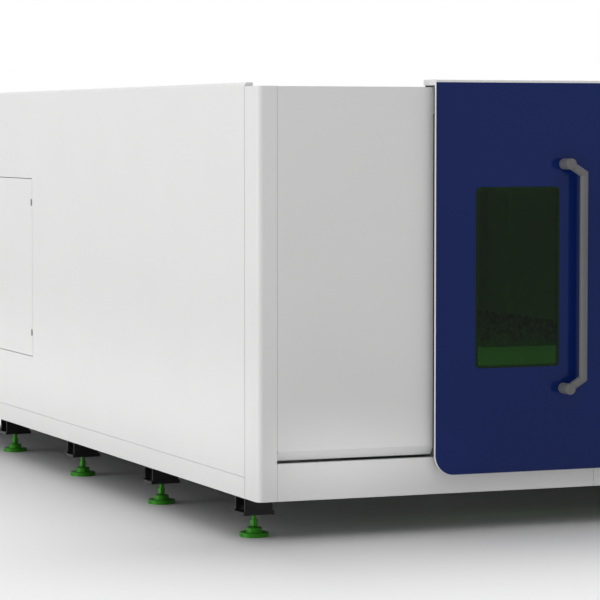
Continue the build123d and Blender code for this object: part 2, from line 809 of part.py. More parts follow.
def table_slats():
    """Upright strips with a row of pointed teeth on which the sheet lies."""
    teeth = int(SLAT_L // TOOTH_PITCH)
    pitch = SLAT_L / teeth
    left = -SLAT_L / 2
    root = SLAT_TOP - TOOTH_H
    points = [(left, LEDGE_TOP), (left, root)]
    for i in range(teeth):
        points += [(left + pitch * (i + 0.5), SLAT_TOP), (left + pitch * (i + 1), root)]
    points.append((-left, LEDGE_TOP))
    slat = along_y(outline(points), around(0, SLAT_T))
    return [Pos(0, place, 0) * slat for place in slat_places()]


def table_frame():
    """Angle ledges with slotted combs that hold the slats, on brackets off the bed beams."""
    out = -LEDGE_IN - LEDGE_T
    y = (TABLE_FRONT, TABLE_REAR)
    ledge = block((out, out + LEDGE_W), y, (LEDGE_TOP - LEDGE_T, LEDGE_TOP))
    comb = block((out, -LEDGE_IN), y, (LEDGE_TOP, LEDGE_TOP + COMB_H))
    slots = []
    slot_w = SLAT_T + 2 * COMB_GAP
    for place in slat_places():
        slots.append(block((out, -LEDGE_IN), around(place, slot_w), (LEDGE_TOP, LEDGE_TOP + COMB_H)))
    angle = ledge + (comb - slots)
    solids = both(angle)
    pitch = (y[1] - y[0]) / BRACKET_COUNT
    low = LEDGE_TOP - LEDGE_T - BRACKET_H
    for i in range(BRACKET_COUNT):
        middle = y[0] + pitch * (i + 0.5)
        bracket_z = (low, LEDGE_TOP - LEDGE_T)
        solids += both(block((-BEAM_IN, out + LEDGE_W), around(middle, BRACKET_W), bracket_z))
    return solids


def slag_trough():
    """Folded trough under the slats that gathers cut-outs and slag."""
    rim = (BEAM_IN - SHEET_T, BASE_TOP + TROUGH_H)
    path = [(-rim[0], rim[1]), (-TROUGH_FLOOR, BASE_TOP), (TROUGH_FLOOR, BASE_TOP), rim]
    return along_y(folded(path), (TABLE_FRONT, TABLE_REAR))


def y_guide_rails():
    rail = block(around(-Y_RAIL_X, Y_RAIL_W), (BED_FRONT, BED_REAR), (BED_TOP, BED_TOP + Y_RAIL_H))
    return both(rail)


def y_magnet_tracks():
    track = block(around(-MAGNET_X, MAGNET_W), (BED_FRONT, BED_REAR), (BED_TOP, BED_TOP + MAGNET_T))
    return both(track)


# Gantry

def gantry_guide_blocks():
    low = BED_TOP + BLOCK_LIFT
    bore_z = (low, BED_TOP + Y_RAIL_H + RUN_GAP)
    blocks = []
    for shift in (-BLOCK_SPREAD / 2, BLOCK_SPREAD / 2):
        y = around(GANTRY_Y + shift, BLOCK_L)
        body = block(around(-Y_RAIL_X, BLOCK_W), y, (low, SADDLE_LOW))
        blocks += both(body - block(around(-Y_RAIL_X, Y_RAIL_W + 2 * RUN_GAP), y, bore_z))
    return blocks


def gantry_motor_coils():
    z = (BED_TOP + MAGNET_T + AIR_GAP, SADDLE_LOW)
    return both(block(around(-MAGNET_X, MAGNET_W), around(GANTRY_Y, COIL_L), z))


def gantry_saddles():
    x = (-GANTRY_END, -BEAM_IN)
    return both(block(x, around(GANTRY_Y, SADDLE_L), (SADDLE_LOW, GANTRY_LOW)))


def gantry_beam():
    z = (GANTRY_LOW, GANTRY_LOW + GANTRY_H)
    return tube((-GANTRY_END, GANTRY_END), around(GANTRY_Y, GANTRY_W), z, GANTRY_WALL, "x")


def x_rail_heights():
    return (GANTRY_MID_Z - X_RAIL_SPREAD / 2, GANTRY_MID_Z + X_RAIL_SPREAD / 2)


def x_guide_rails():
    y = (X_FACE - X_RAIL_H, X_FACE)
    return [block(around(0, X_RAIL_L), y, around(height, X_RAIL_W)) for height in x_rail_heights()]


def x_magnet_track():
    return block(around(0, X_RAIL_L), (X_FACE - X_MAGNET_T, X_FACE), around(GANTRY_MID_Z, X_MAGNET_W))


# Head carriage and cutting head

def head_carriage():
    """Carriage plate, its guide blocks on the two rails and the coil over the magnet track."""
    z = around(GANTRY_MID_Z, X_RAIL_SPREAD + X_BLOCK_W)
    solids = [block(around(0, CARRIAGE_PLATE_W), (PLATE_FACE, X_BLOCK_FACE), z)]
    block_y = (X_BLOCK_FACE, X_BLOCK_FACE + X_BLOCK_H)
    bore_y = (X_FACE - X_RAIL_H - RUN_GAP, block_y[1])
    reach = (CARRIAGE_PLATE_W - X_BLOCK_L) / 2
    for height in x_rail_heights():
        bore = block(around(0, CARRIAGE_PLATE_W), bore_y, around(height, X_RAIL_W + 2 * RUN_GAP))
        for middle in (-reach, reach):
            solids.append(block(around(middle, X_BLOCK_L), block_y, around(height, X_BLOCK_W)) - bore)
    coil_y = (X_BLOCK_FACE, X_FACE - X_MAGNET_T - AIR_GAP)
    solids.append(block(around(0, CARRIAGE_PLATE_W), coil_y, around(GANTRY_MID_Z, X_MAGNET_W)))
    return solids


def z_axis_drive():
    """Closed ball-screw housing with the slide rail on its front and the motor on its top."""
    low = GANTRY_MID_Z - (X_RAIL_SPREAD + X_BLOCK_W) / 2
    high = low + Z_BOX_H
    housing = block(around(0, Z_BOX_W), (Z_FACE, PLATE_FACE), (low, high))
    rail = block(around(0, Z_RAIL_W), (Z_FACE - Z_RAIL_T, Z_FACE), (low, high))
    motor_y = around((Z_FACE + PLATE_FACE) / 2, Z_MOTOR_W)
    motor = block(around(0, Z_MOTOR_W), motor_y, (high, high + Z_MOTOR_H))
    motor = chamfer(motor.edges().filter_by(Axis.Z), Z_MOTOR_W / 9)
    return [housing + rail, motor]


def cutting_head():
    """Slide block on the Z rail, head body with bevelled edges and the fiber collimator."""
    y = (Z_BLOCK_FACE, Z_FACE - RUN_GAP)
    slide = block(around(0, Z_BLOCK_W), y, (HEAD_LOW + HEAD_H - Z_BLOCK_H, HEAD_LOW + HEAD_H))
    bore_y = (Z_FACE - Z_RAIL_T - RUN_GAP, y[1])
    bore = block(around(0, Z_RAIL_W + 2 * RUN_GAP), bore_y, (HEAD_LOW, HEAD_LOW + HEAD_H))
    body = block(around(0, HEAD_W), around(HEAD_Y, HEAD_D), (HEAD_LOW, HEAD_LOW + HEAD_H))
    body = chamfer(body.edges().filter_by(Axis.Z), HEAD_EDGE)
    top = HEAD_LOW + HEAD_H
    collimator = disc(COLLIMATOR_D / 2, top, top + COLLIMATOR_H, (0, HEAD_Y))
    return body + collimator + (slide - bore)


def cutting_nozzle():
    """Copper nozzle, a cone down to its tip."""
    place = Pos(0, HEAD_Y, NOZZLE_TIP + NOZZLE_H / 2)
    return place * Cone(NOZZLE_TIP_D / 2, NOZZLE_TOP_D / 2, NOZZLE_H)


def laser_source():
    """Sealed laser source on a drawn-in plinth."""
    x = (FRAME_X - SOURCE_IN - SOURCE_W, FRAME_X - SOURCE_IN)
    y = (FRONT + SOURCE_STATION - CROSS_W / 2, FRONT + SOURCE_STATION - CROSS_W / 2 + SOURCE_L)
    case = block(x, y, (BASE_TOP + SOURCE_PLINTH, BASE_TOP + SOURCE_H))
    case = chamfer(case.edges().filter_by(Axis.Z), SOURCE_EDGE)
    foot = block((x[0] + SOURCE_PLINTH, x[1] - SOURCE_PLINTH), y, (BASE_TOP, BASE_TOP + SOURCE_PLINTH))
    return case + foot


# The finished sub-parts, one file each
os.makedirs("parts", exist_ok=True)

save("base_rails", base_rails())
save("base_cross_members", base_cross_members())
save("foot_brackets", at_feet(foot_bracket))
save("levelling_pads", at_feet(levelling_pad))
save("levelling_studs", at_feet(levelling_stud))
save("levelling_nuts", at_feet(levelling_nut))
save("enclosure_posts", enclosure_posts())
save("top_frame", top_frame())
save("front_header", front_header())
save("door_rail", door_rail())

save("front_corner_columns", both(corner_column(ROOF_SETBACK - SEAM_W)))
save("rear_corner_columns", to_rear(both(corner_column(SKIN_D))))
save("front_panels", both(front_panel()))
save("kick_plates", kick_plates())
save("side_panel_left", hatched_side_panel())
save("side_panel_right", side_panel())
save("side_skirts", both(side_skirt()))
save("rear_panel", rear_panel())
save("rear_skirt", rear_skirt())
save("roof_panel", roof_panel())
save("roof_rails", both(roof_rail()))
save("exhaust_spigot", exhaust_spigot())

save("hatch_leaf", hatch_leaf())
save("hatch_pull", hatch_pull())
save("hatch_hinge_brackets", hinge_brackets())
save("hatch_hinge_pins", hinge_pins())

door_pieces = {
    "door_tray": [door_tray()],
    "door_facing": [door_facing()],
    "door_hood": [door_hood()],
    "door_window": [door_window()],
    "window_clamp": [window_clamp()],
    "door_handle": [door_handle()],
    "door_runners": door_runners(),
}
for name, solids in door_pieces.items():
    save(f"left_{name}", solids)
    save(f"right_{name}", [mirror(solid, about=Plane.YZ) for solid in solids])

save("bed_beams", bed_beams())
save("bed_front_plate", bed_end_plate((BED_FRONT - BED_PLATE_T, BED_FRONT)))
save("bed_rear_plate", bed_end_plate((BED_REAR, BED_REAR + BED_PLATE_T)))
save("table_frame", table_frame())
save("table_slats", table_slats())
save("slag_trough", slag_trough())
save("y_guide_rails", y_guide_rails())
save("y_magnet_tracks", y_magnet_tracks())
save("gantry_guide_blocks", gantry_guide_blocks())
save("gantry_motor_coils", gantry_motor_coils())
save("gantry_saddles", gantry_saddles())
save("gantry_beam", gantry_beam())
save("x_guide_rails", x_guide_rails())
save("x_magnet_track", x_magnet_track())
save("head_carriage", head_carriage())
save("z_axis_drive", z_axis_drive())
save("cutting_head", cutting_head())
save("cutting_nozzle", cutting_nozzle())
save("laser_source", laser_source())
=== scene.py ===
"""Looks of the enclosed fiber laser cutting machine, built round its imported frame."""
import json
import math

import bmesh
import bpy
from mathutils import Matrix, Vector


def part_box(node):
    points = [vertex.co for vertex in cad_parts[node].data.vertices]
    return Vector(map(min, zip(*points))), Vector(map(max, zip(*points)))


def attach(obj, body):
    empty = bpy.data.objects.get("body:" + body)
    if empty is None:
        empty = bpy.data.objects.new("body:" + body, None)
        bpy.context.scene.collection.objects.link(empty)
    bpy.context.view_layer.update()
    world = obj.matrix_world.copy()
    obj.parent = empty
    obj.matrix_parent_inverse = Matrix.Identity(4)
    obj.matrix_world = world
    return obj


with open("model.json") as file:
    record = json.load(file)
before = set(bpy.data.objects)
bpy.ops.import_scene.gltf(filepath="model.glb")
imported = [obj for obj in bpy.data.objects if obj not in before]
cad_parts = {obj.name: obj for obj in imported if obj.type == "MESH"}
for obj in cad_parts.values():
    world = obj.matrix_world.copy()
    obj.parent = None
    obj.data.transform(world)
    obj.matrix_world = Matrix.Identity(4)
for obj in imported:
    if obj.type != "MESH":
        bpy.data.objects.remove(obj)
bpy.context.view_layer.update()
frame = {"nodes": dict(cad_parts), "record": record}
scene = bpy.context.scene

# View of the photograph: place in metres, turn about Z and tilt below level in degrees
CAMERA_AT = (-6.2742, -14.6971, 1.8174)
CAMERA_TURN = 21.93
CAMERA_TILT = 3.316
CAMERA_REACH = 200.0
LENS_MM = 176.04
SENSOR_MM = 36.0

# Floor in metres, and strength of the even fill light
FLOOR_REACH = 60.0
WORLD_FILL = 0.36

# Linear base colours
WHITE = (0.80, 0.80, 0.795)
BLUE = (0.0043, 0.0172, 0.1150)
HANDLE_GREY = (0.140, 0.140, 0.145)
BLACK = (0.006, 0.006, 0.006)
CLAMP_GREY = (0.050, 0.066, 0.044)
GREEN = (0.032, 0.235, 0.009)
FRAME_GREY = (0.30, 0.31, 0.32)
BED_GREY = (0.20, 0.22, 0.24)
STEEL = (0.55, 0.55, 0.56)
SHEET_STEEL = (0.40, 0.40, 0.41)
BURNT_STEEL = (0.10, 0.075, 0.055)
MAGNET = (0.62, 0.62, 0.63)
ALUMINIUM = (0.70, 0.71, 0.72)
MOTOR_BLACK = (0.020, 0.020, 0.022)
HEAD_GREY = (0.55, 0.56, 0.58)
COPPER = (0.72, 0.40, 0.24)
GLASS_GREEN = (0.08, 0.42, 0.03)
EDGE_PRINT = (0.003, 0.018, 0.0008)
HINGE_ZINC = (0.20, 0.20, 0.205)
# Dark rubber of the door seals, painted shade: it stands in for the shadow in the gaps beside and over the door
# leaves
SHADE_RUBBER_COLOUR = (0.014, 0.014, 0.015)
FLOOR_DARK = (0.86, 0.86, 0.86)
FLOOR_LIGHT = (0.88, 0.88, 0.88)

# Stretch of the grain of bare metal: few repeats along one axis, many across it
ALONG_X = (3.0, 700.0, 700.0)
ALONG_Y = (700.0, 3.0, 700.0)
ALONG_Z = (500.0, 500.0, 5.0)

# Headings of small pieces
UPWARDS = (0, 0, 1)
FORWARDS = (0, -1, 0)
BACKWARDS = (0, 1, 0)


# Materials

def shader(name):
    """New material with its node tree and its surface shader."""
    material = bpy.data.materials.new(name)
    material.use_nodes = True
    tree = material.node_tree
    return material, tree, tree.nodes["Principled BSDF"]


def add(tree, kind, settings=None, inputs=None):
    """New node with its settings and the values of its sockets."""
    node = tree.nodes.new(kind)
    for name, value in (settings or {}).items():
        setattr(node, name, value)
    for name, value in (inputs or {}).items():
        node.inputs[name].default_value = value
    return node


def noise(tree, scale, detail=2.0, stretch=(1, 1, 1)):
    """Noise over the object's own coordinates, in repeats per metre."""
    place = add(tree, "ShaderNodeTexCoord")
    grain = add(tree, "ShaderNodeMapping", inputs={"Scale": stretch})
    texture = add(tree, "ShaderNodeTexNoise", inputs={"Scale": scale, "Detail": detail})
    tree.links.new(place.outputs["Object"], grain.inputs["Vector"])
    tree.links.new(grain.outputs["Vector"], texture.inputs["Vector"])
    return texture.outputs["Fac"]


def spread(tree, fac, low, high):
    """Noise stretched to run from a low to a high value."""
    ends = {"From Min": 0.3, "From Max": 0.7, "To Min": low, "To Max": high}
    span = add(tree, "ShaderNodeMapRange", inputs=ends)
    tree.links.new(fac, span.inputs["Value"])
    return span.outputs["Result"]


def shade_between(tree, fac, dark, light):
    """Colour that runs from a dark to a light one."""
    mix = add(tree, "ShaderNodeMix", {"data_type": "RGBA"})
    mix.inputs["A"].default_value = (*dark, 1)
    mix.inputs["B"].default_value = (*light, 1)
    tree.links.new(fac, mix.inputs["Factor"])
    return mix.outputs["Result"]


def bump(tree, surface, fac, strength, depth):
    """Relief of a real depth in metres."""
    relief = add(tree, "ShaderNodeBump", inputs={"Strength": strength, "Distance": depth})
    tree.links.new(fac, relief.inputs["Height"])
    tree.links.new(relief.outputs["Normal"], surface.inputs["Normal"])


def scaled(colour, factor):
    return tuple(min(1.0, channel * factor) for channel in colour)


def paint(name, colour, roughness, specular, peel=0.05, cloud=0.02, metal=0.0):
    """Sprayed or powder-coated paint: faint clouding, orange peel and uneven gloss."""
    material, tree, surface = shader(name)
    clouds = spread(tree, noise(tree, scale=2.3, detail=4.0), 0.0, 1.0)
    tint = shade_between(tree, clouds, scaled(colour, 1 - cloud), scaled(colour, 1 + cloud))
    tree.links.new(tint, surface.inputs["Base Color"])
    gloss = spread(tree, noise(tree, scale=35.0, detail=3.0), roughness - 0.04, roughness + 0.04)
    tree.links.new(gloss, surface.inputs["Roughness"])
    surface.inputs["Specular IOR Level"].default_value = specular
    surface.inputs["Metallic"].default_value = metal
    bump(tree, surface, noise(tree, scale=420.0), strength=peel, depth=0.0004)
    return material


def brushed(name, colour, roughness, stretch):
    """Bare metal with fine lines along one axis."""
    material, tree, surface = shader(name)
    lines = noise(tree, scale=1.0, detail=5.0, stretch=stretch)
    tint = shade_between(tree, spread(tree, lines, 0.0, 1.0), scaled(colour, 0.88), scaled(colour, 1.08))
    tree.links.new(tint, surface.inputs["Base Color"])
    gloss = spread(tree, lines, roughness - 0.08, roughness + 0.08)
    tree.links.new(gloss, surface.inputs["Roughness"])
    surface.inputs["Metallic"].default_value = 1.0
    bump(tree, surface, lines, strength=0.08, depth=0.0002)
    return material


def burnt_steel(name, colour):
    """Slat steel, darkened and browned by the beam towards its teeth."""
    material, tree, surface = shader(name)
    place = add(tree, "ShaderNodeTexCoord")
    height = add(tree, "ShaderNodeSeparateXYZ")
    low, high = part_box("table_slats")
    reach = add(tree, "ShaderNodeMapRange", inputs={"From Min": low.z, "From Max": high.z})
    tree.links.new(place.outputs["Object"], height.inputs["Vector"])
    tree.links.new(height.outputs["Z"], reach.inputs["Value"])
    patches = noise(tree, scale=45.0, detail=5.0)
    burn = add(tree, "ShaderNodeMath", {"operation": "MULTIPLY", "use_clamp": True})
    tree.links.new(reach.outputs["Result"], burn.inputs[0])
    tree.links.new(spread(tree, patches, 0.3, 1.4), burn.inputs[1])
    tint = shade_between(tree, burn.outputs["Value"], colour, BURNT_STEEL)
    tree.links.new(tint, surface.inputs["Base Color"])
    tree.links.new(spread(tree, patches, 0.38, 0.62), surface.inputs["Roughness"])
    surface.inputs["Metallic"].default_value = 0.9
    bump(tree, surface, patches, strength=0.25, depth=0.001)
    return material


def pane(name, colour):
    """Tinted laser-safety pane."""
    material, tree, surface = shader(name)
    tint = shade_between(tree, noise(tree, scale=1.5), scaled(colour, 0.94), scaled(colour, 1.06))
    tree.links.new(tint, surface.inputs["Base Color"])
    tree.links.new(spread(tree, noise(tree, scale=60.0), 0.03, 0.07), surface.inputs["Roughness"])
    surface.inputs["Transmission Weight"].default_value = 1.0
    surface.inputs["IOR"].default_value = 1.22
    return material


finishes = {
    "white_paint": paint("white_paint", WHITE, roughness=0.45, specular=0.40, peel=0.04, cloud=0.008),
    "blue_paint": paint("blue_paint", BLUE, roughness=0.10, specular=0.13, peel=0.01, cloud=0.03),
    "grey_handle": paint("grey_handle", HANDLE_GREY, roughness=0.50, specular=0.30, peel=0.04, cloud=0.04),
    "laser_glass": pane("laser_glass", GLASS_GREEN),
    "black_paint": paint("black_paint", BLACK, roughness=0.40, specular=0.25, peel=0.10, cloud=0.10),
    "clamp_grey": paint("clamp_grey", CLAMP_GREY, roughness=0.60, specular=0.20, peel=0.10, cloud=0.08),
    "green_foot": paint("green_foot", GREEN, roughness=0.42, specular=0.22, peel=0.02, cloud=0.05, metal=0.2),
    "frame_paint": paint("frame_paint", FRAME_GREY, roughness=0.60, specular=0.25, peel=0.10, cloud=0.04),
    "bed_paint": paint("bed_paint", BED_GREY, roughness=0.55, specular=0.25, peel=0.10, cloud=0.06),
    "bright_steel": brushed("bright_steel", STEEL, roughness=0.28, stretch=ALONG_Y),
    "plain_steel": brushed("plain_steel", SHEET_STEEL, roughness=0.42, stretch=ALONG_Y),
    "magnet_cover": brushed("magnet_cover", MAGNET, roughness=0.30, stretch=ALONG_Y),
    "gantry_aluminium": brushed("gantry_aluminium", ALUMINIUM, roughness=0.36, stretch=ALONG_X),
    "motor_black": paint("motor_black", MOTOR_BLACK, roughness=0.50, specular=0.30, peel=0.12, cloud=0.08),
    "head_housing": paint("head_housing", HEAD_GREY, roughness=0.40, specular=0.35, peel=0.05, cloud=0.03),
    "copper_tip": brushed("copper_tip", COPPER, roughness=0.25, stretch=ALONG_Z),
}
slat_steel = burnt_steel("slat_steel", SHEET_STEEL)
hinge_zinc = brushed("hinge_zinc", HINGE_ZINC, roughness=0.60, stretch=ALONG_Z)
edge_print = paint("edge_print", EDGE_PRINT, roughness=0.08, specular=0.12, peel=0.0, cloud=0.05)
# Painted shade: dark rubber whose colour stands in for the shadow in the gaps beside and over the door leaves
painted_shade_rubber = paint("painted_shade_rubber", SHADE_RUBBER_COLOUR, roughness=0.70, specular=0.20, peel=0.15, cloud=0.10)


def dress(node, material):
    """Gives a CAD node its finish."""
    slots = frame["nodes"][node].data.materials
    slots.clear()
    slots.append(material)


for part in frame["record"]["subparts"]:
    dress(part["node"], finishes[part["material_slot"]])
dress("table_slats", slat_steel)
dress("hatch_hinge_brackets", hinge_zinc)
dress("hatch_hinge_pins", hinge_zinc)


# Tools for small pieces, in metres

def piece(name, work, body, finish):
    """Turns a mesh in work into a piece that rides on a body."""
    bmesh.ops.recalc_face_normals(work, faces=work.faces)
    mesh = bpy.data.meshes.new(name)
    work.to_mesh(mesh)
    work.free()
    mesh.shade_smooth()
    mesh.set_sharp_from_angle(angle=math.radians(30))
    mesh.materials.append(finish)
    made = bpy.data.objects.new(name, mesh)
    scene.collection.objects.link(made)
    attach(made, body)


def run(work, outline, along, low, high):
    """Outline in the two other axes, run from low to high along one axis."""
    def corner(a, b, reach):
        return {"x": (reach, a, b), "y": (a, reach, b), "z": (a, b, reach)}[along]

    near = [work.verts.new(corner(a, b, low)) for a, b in outline]
    far = [work.verts.new(corner(a, b, high)) for a, b in outline]
    work.faces.new(near)
    work.faces.new(far)
    for i in range(len(outline)):
        j = (i + 1) % len(outline)
        work.faces.new((near[i], near[j], far[j], far[i]))


def turned(work, outline, at, heading, sides=16):
    """Outline of radius and height, from the axis back to the axis, turned about a heading."""
    place = Matrix.Translation(at) @ Vector(heading).to_track_quat("Z", "Y").to_matrix().to_4x4()
    rings = []
    for radius, height in outline:
        angles = [math.tau * i / sides for i in range(sides if radius else 1)]
        points = [Vector((radius * math.cos(a), radius * math.sin(a), height)) for a in angles]
        rings.append([work.verts.new(place @ point) for point in points])
    for low, high in zip(rings, rings[1:]):
        for i in range(sides):
            j = (i + 1) % sides
            loop = (low[i % len(low)], low[j % len(low)], high[j % len(high)], high[i % len(high)])
            work.faces.new(list(dict.fromkeys(loop)))


def plate(work, x, z, y, corner):
    """Flat plate across Y with clipped corners."""
    outline = [
        (x[0] + corner, z[0]), (x[1] - corner, z[0]), (x[1], z[0] + corner), (x[1], z[1] - corner),
        (x[1] - corner, z[1]), (x[0] + corner, z[1]), (x[0], z[1] - corner), (x[0], z[0] + corner),
    ]
    run(work, outline, "y", *y)


def steps(low, high, count):
    return [low + (high - low) * i / (count - 1) for i in range(count)]


# Radius and height in shares of the head's radius
BUTTON_HEAD = ((0, 0), (1, 0), (1, 0.35), (0.85, 0.65), (0.58, 0.80), (0.50, 0.35), (0, 0.35))


def screws(name, places, heading, radius, body):
    """Button heads with a socket."""
    work = bmesh.new()
    for place in places:
        turned(work, [(radius * r, radius * h) for r, h in BUTTON_HEAD], place, heading)
    piece(name, work, body, finishes["bright_steel"])


CAP_EDGE = 0.00015
CAP_CROWN = 0.0002


def caps(name, places, heading, radius, body):
    """Plugs over the screws of a guide rail, all but flush with it."""
    work = bmesh.new()
    for place in places:
        turned(work, [(0, 0), (radius, 0), (radius, CAP_EDGE), (0, CAP_CROWN)], place, heading)
    piece(name, work, body, finishes["motor_black"])


# Distance from the sheet and height
LOUVRE_HOOD = ((0, 0.014), (0.005, 0.010), (0.010, 0.001), (0.009, 0), (0.004, 0.0085), (0, 0.0115))
# Black sheet in each slot: painted shade standing in for the dark opening behind the hood
LOUVRE_SHADE_SHEET = ((0, 0.0115), (0.0006, 0.0105), (0.0006, 0.001), (0, 0))
LOUVRE_END = 0.004


def louvres(name, face, out, x, heights, finish):
    """Pressed hoods over slots, each slot holding a black sheet that stands in for the shade inside the opening,
    painted shade; out is the side they stand to along Y.
    """
    hoods = bmesh.new()
    slots = bmesh.new()
    for z in heights:
        run(hoods, [(face + out * y, z + rise) for y, rise in LOUVRE_HOOD], "x", *x)
        inner = (x[0] + LOUVRE_END, x[1] - LOUVRE_END)
        run(slots, [(face + out * y, z + rise) for y, rise in LOUVRE_SHADE_SHEET], "x", *inner)
    piece(name, hoods, "machine", finish)
    # The black sheets in the slots are painted shade, standing in for the dark inside of the openings
    piece(name + "_shade_sheets", slots, "machine", finishes["black_paint"])


# Door seals of dark rubber; the edge and hood lips are painted shade, dark strips standing in for the shadow in
# the gaps beside and over each leaf. X and Y from the leaf's back edges, X and Z from the lower corner of the
# hood's end
EDGE_LIP = (
    (0.0005, 0), (0.013, 0), (0.013, 0.002), (0.011, 0.003), (0.011, 0.029),
    (0.0095, 0.031), (0.0075, 0.031), (0.007, 0.029), (0.007, 0.003), (0.0005, 0.002),
)
MEETING_LIP = (
    (-0.010, 0), (0.0003, 0), (0.001, 0.002), (0.001, 0.008), (-0.001, 0.0085), (-0.002, 0.003), (-0.010, 0.002),
)
HOOD_LIP = ((0, 0), (0.003, 0), (0.0025, -0.0072), (0.0005, -0.0072))
EDGE_LIP_SPAN = (0.404, 1.888)
MEETING_LIP_RISE = 0.02
MEETING_LIP_TOP = 1.96
HOOD_LIP_BACK = 0.020
HOOD_LIP_GAP = 0.006


def shade_door_seals():
    """Dark rubber lips behind each leaf's edges and under the outer end of its hood; the edge and hood lips are
    painted shade, dark strips standing in for the shadow in those gaps.
    """
    for side, sign in (("left", 1), ("right", -1)):
        low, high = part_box("left_door_tray")
        work = bmesh.new()
        # Edge lip: a dark strip standing in for the shadow between the leaf and the panel, painted shade
        run(work, [(sign * (low.x + x), high.y + y) for x, y in EDGE_LIP], "z", *EDGE_LIP_SPAN)
        piece(f"{side}_door_edge_shade_seal", work, f"{side}_door", painted_shade_rubber)
        span = (low.z + MEETING_LIP_RISE, MEETING_LIP_TOP)
        work = bmesh.new()
        run(work, [(sign * (high.x + x), high.y + y) for x, y in MEETING_LIP], "z", *span)
        piece(f"{side}_door_meeting_seal", work, f"{side}_door", painted_shade_rubber)
        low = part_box("left_door_hood")[0]
        span = (low.y + HOOD_LIP_BACK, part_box("roof_panel")[0].y - HOOD_LIP_GAP)
        work = bmesh.new()
        # Hood lip: a dark strip standing in for the shadow under the hood's end over the panel, painted shade
        run(work, [(sign * (low.x + x), low.z + z) for x, z in HOOD_LIP], "y", *span)
        piece(f"{side}_hood_shade_seal", work, f"{side}_door", painted_shade_rubber)


def rounded(low, high, inset, radius):
    """Points round a rectangle in X and Z with rounded corners."""
    x = (low.x + inset + radius, high.x - inset - radius)
    z = (low.z + inset + radius, high.z - inset - radius)
    points = []
    for turn, (cx, cz) in enumerate(((x[1], z[1]), (x[0], z[1]), (x[0], z[0]), (x[1], z[0]))):
        for step in range(0, 91, 15):
            angle = math.radians(90 * turn + step)
            points.append((cx + radius * math.cos(angle), cz + radius * math.sin(angle)))
    return points


PANE_CORNER_R = 0.022
PRINT_CORNER_R = 0.011
PRINT_W = 0.011
PRINT_T = 0.0003


def window_prints():
    """Dark green border printed round each pane over its clamp."""
    for side in ("left", "right"):
        low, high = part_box(f"{side}_door_window")
        outer = rounded(low, high, 0.0, PANE_CORNER_R)
        inner = rounded(low, high, PRINT_W, PRINT_CORNER_R)
        face = low.y - PRINT_T
        work = bmesh.new()
        loops = [
            [work.verts.new((x, y, z)) for x, z in points]
            for points, y in ((outer, low.y), (outer, face), (inner, face), (inner, low.y))
        ]
        for one, two in zip(loops, loops[1:] + loops[:1]):
            for i in range(len(one)):
                j = (i + 1) % len(one)
                work.faces.new((one[i], one[j], two[j], two[i]))
        piece(f"{side}_window_print", work, f"{side}_door", edge_print)


# Sealant: depth of its face and of its back behind the skin, and where it lies
SKIRT_BEAD = (0.0052, 0.009)
FRONT_BEAD = (0.0030, 0.006)
BEAD_HOLLOW = 0.0008
COLUMN_SEAM_W = 0.004
KICK_JOINT = (-0.014, -0.010)
KICK_BEAD_RISE = 0.002
KICK_BEAD_TOP = 0.348
PANEL_BEAD_FOOT = 0.406
PANEL_BEAD_DROP = 0.003


def bead(seam, skin, depths):
    """Sealant across a seam, as points of place and depth: a slightly hollow face and a flat back."""
    face, back = (skin + depth for depth in depths)
    middle = (seam[0] + seam[1]) / 2
    return [(seam[0], face), (middle, face + BEAD_HOLLOW), (seam[1], face), (seam[1], back), (seam[0], back)]


def seam_fillers():
    """Paint-coloured sealant in the seams over the skirts, beside the columns and between the kick plates."""
    low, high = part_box("side_panel_left")
    outline = bead((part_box("side_skirts")[1].z, low.z), low.x, SKIRT_BEAD)
    work = bmesh.new()
    for sign in (1, -1):
        run(work, [(sign * x, z) for z, x in outline], "y", low.y, high.y)
    piece("skirt_seam_fillers", work, "machine", finishes["white_paint"])
    low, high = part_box("front_panels")
    outline = bead((low.x - COLUMN_SEAM_W, low.x), low.y, FRONT_BEAD)
    kick = (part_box("kick_plates")[0].z + KICK_BEAD_RISE, KICK_BEAD_TOP)
    work = bmesh.new()
    for sign in (1, -1):
        across = [(sign * x, y) for x, y in outline]
        run(work, across, "z", PANEL_BEAD_FOOT, high.z - PANEL_BEAD_DROP)
        run(work, across, "z", *kick)
    run(work, bead(KICK_JOINT, low.y, FRONT_BEAD), "z", *kick)
    piece("front_seam_fillers", work, "machine", finishes["white_paint"])


REAR_SCREW_INSET = 0.03
REAR_LOUVRE_X = (0.46, 1.16)
REAR_LOUVRE_Z = (1.20, 1.50)
SPIGOT_BOLTS = 8
SPIGOT_BOLT_CIRCLE_R = 0.1625
SPIGOT_FLANGE_T = 0.003


def rear_details():
    """Screws round the rear panel, its louvres and the bolts of the exhaust spigot."""
    low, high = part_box("rear_panel")
    across = steps(low.x + REAR_SCREW_INSET, high.x - REAR_SCREW_INSET, 14)
    up = steps(low.z + REAR_SCREW_INSET, high.z - REAR_SCREW_INSET, 8)
    places = [(x, high.y, z) for x in across for z in (up[0], up[-1])]
    places += [(x, high.y, z) for x in (across[0], across[-1]) for z in up[1:-1]]
    screws("rear_panel_screws", places, BACKWARDS, radius=0.007, body="machine")
    heights = steps(*REAR_LOUVRE_Z, 11)
    louvres("rear_louvres", high.y, 1, REAR_LOUVRE_X, heights, finishes["white_paint"])
    low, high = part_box("exhaust_spigot")
    middle = (low.z + high.z) / 2
    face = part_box("rear_panel")[1].y + SPIGOT_FLANGE_T
    turns = [math.tau * (i + 0.5) / SPIGOT_BOLTS for i in range(SPIGOT_BOLTS)]
    circle = [(SPIGOT_BOLT_CIRCLE_R * math.cos(a), SPIGOT_BOLT_CIRCLE_R * math.sin(a)) for a in turns]
    screws("spigot_bolts", [(x, face, middle + z) for x, z in circle], BACKWARDS, radius=0.006, body="machine")


ROOF_COVER_T = 0.002
ROOF_COVER_HALF = 0.035
ROOF_COVER_BEVEL = 0.002
ROOF_COVER_INSET = 0.04
ROOF_SCREW_INSET = 0.05
ROOF_SCREW_R = 0.006


